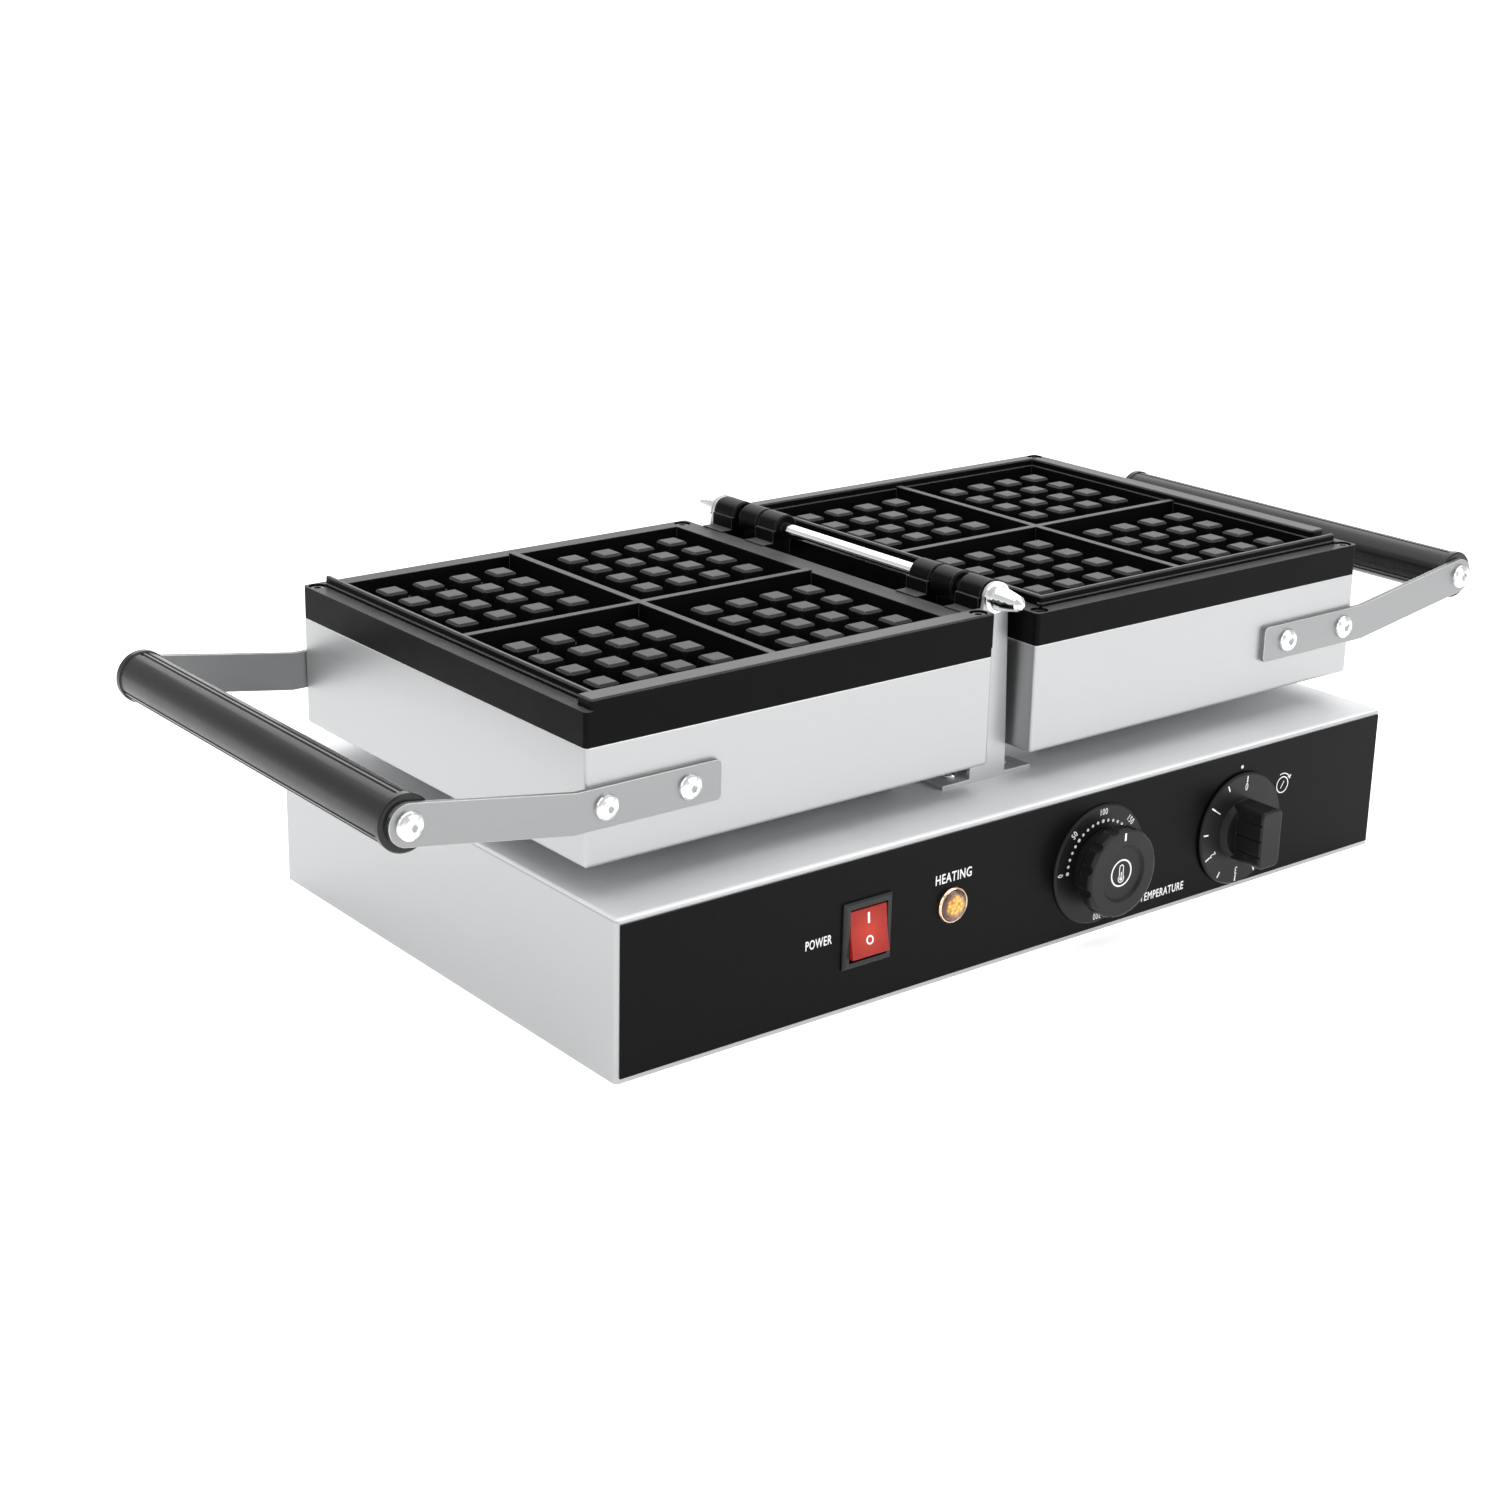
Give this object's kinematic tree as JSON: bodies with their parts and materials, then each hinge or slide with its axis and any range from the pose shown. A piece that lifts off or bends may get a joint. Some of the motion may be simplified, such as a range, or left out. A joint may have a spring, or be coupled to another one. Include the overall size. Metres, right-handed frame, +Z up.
{
  "type": "waffle maker",
  "caption": "Double electric waffle maker with two flip-over cast plates on one hinge rod, a stainless base, rocker switch, thermostat and timer knobs.",
  "frame": {"origin": "on the table, under the middle of the whole object's box, which is also the middle of the base box", "axes": "+X to the right along the control panel, +Y from the control panel to the back, +Z up"},
  "size_m": [0.818, 0.394, 0.21],
  "materials": {
    "stainless": "satin brushed stainless sheet, brushed along the width",
    "tray_steel": "satin stainless sheet",
    "arm_steel": "satin steel flat bar",
    "bracket_steel": "satin steel sheet",
    "inner_steel": "plain zinc plated or bright steel inside the casing",
    "panel_black": "black printed overlay, low gloss",
    "plate_black": "cast aluminium with black non-stick coating, semi-gloss",
    "grip_black": "black moulded plastic, soft gloss",
    "knob_black": "dark grey moulded plastic, fine texture",
    "switch_black": "black moulded plastic",
    "gland_black": "black nylon",
    "rocker_red": "translucent red, lit from behind",
    "amber_lens": "faceted amber lens",
    "chrome": "bright plated steel",
    "dark_screw": "blackened steel",
    "rubber": "black rubber",
    "white_insulator": "heat resistant moulded insulator",
    "mineral_wool": "pressed mineral wool slab"
  },
  "bodies": {
    "base": {"base_housing": "stainless", "front_panel": "panel_black", "bottom_plate": "inner_steel", "feet": "rubber", "foot_screws": "chrome", "foot_nuts": "chrome", "bottom_screws": "chrome", "cable_gland": "gland_black", "gland_nut": "gland_black", "terminal_block": "white_insulator", "switch_body": "switch_black", "lamp_bezel": "chrome", "lamp_lens": "amber_lens", "lamp_body": "white_insulator", "thermostat_dial": "knob_black", "thermostat_body": "inner_steel", "timer_body": "white_insulator", "bracket_front": "bracket_steel", "bracket_rear": "bracket_steel", "bracket_screws": "chrome", "bracket_nuts": "chrome", "rest_bar_front": "bracket_steel", "rest_bar_rear": "bracket_steel", "hinge_rod": "chrome", "hinge_washers": "chrome", "cap_nuts": "chrome"},
    "left_head": {"left_shell": "tray_steel", "left_plate": "plate_black", "left_plate_screws": "dark_screw", "left_plate_nuts": "chrome", "left_element": "inner_steel", "left_clamp_plate": "inner_steel", "left_insulation": "mineral_wool", "left_arm_front": "arm_steel", "left_arm_rear": "arm_steel", "left_arm_screws": "chrome", "left_arm_nuts": "chrome", "left_grip": "grip_black", "left_grip_rod": "inner_steel", "left_grip_screws": "chrome"},
    "right_head": {"right_shell": "tray_steel", "right_plate": "plate_black", "right_plate_screws": "dark_screw", "right_plate_nuts": "chrome", "right_element": "inner_steel", "right_clamp_plate": "inner_steel", "right_insulation": "mineral_wool", "right_arm_front": "arm_steel", "right_arm_rear": "arm_steel", "right_arm_screws": "chrome", "right_arm_nuts": "chrome", "right_grip": "grip_black", "right_grip_rod": "inner_steel", "right_grip_screws": "chrome"},
    "power_rocker": {"power_rocker": "rocker_red"},
    "thermostat_knob": {"thermostat_knob": "knob_black", "thermostat_shaft": "inner_steel"},
    "timer_knob": {"timer_knob": "knob_black", "timer_shaft": "inner_steel"}
  },
  "joints": [
    {"name": "left_head_hinge", "type": "hinge", "parent": "base", "child": "left_head", "pos_m": [0, 0, 0.201], "axis": [0, 1, 0], "range_deg": [0, 180]},
    {"name": "right_head_hinge", "type": "hinge", "parent": "base", "child": "right_head", "pos_m": [0, 0, 0.201], "axis": [0, 1, 0], "range_deg": [-180, 0]},
    {"name": "power_rocker_tip", "type": "hinge", "parent": "base", "child": "power_rocker", "pos_m": [-0.129, -0.169, 0.0474], "axis": [1, 0, 0], "range_deg": [0, 16]},
    {"name": "thermostat_turn", "type": "hinge", "parent": "base", "child": "thermostat_knob", "pos_m": [0.0465, -0.17, 0.046], "axis": [0, 1, 0], "range_deg": [-90, 180]},
    {"name": "timer_turn", "type": "hinge", "parent": "base", "child": "timer_knob", "pos_m": [0.1655, -0.17, 0.042], "axis": [0, 1, 0], "range_deg": [0, 270]}
  ]
}
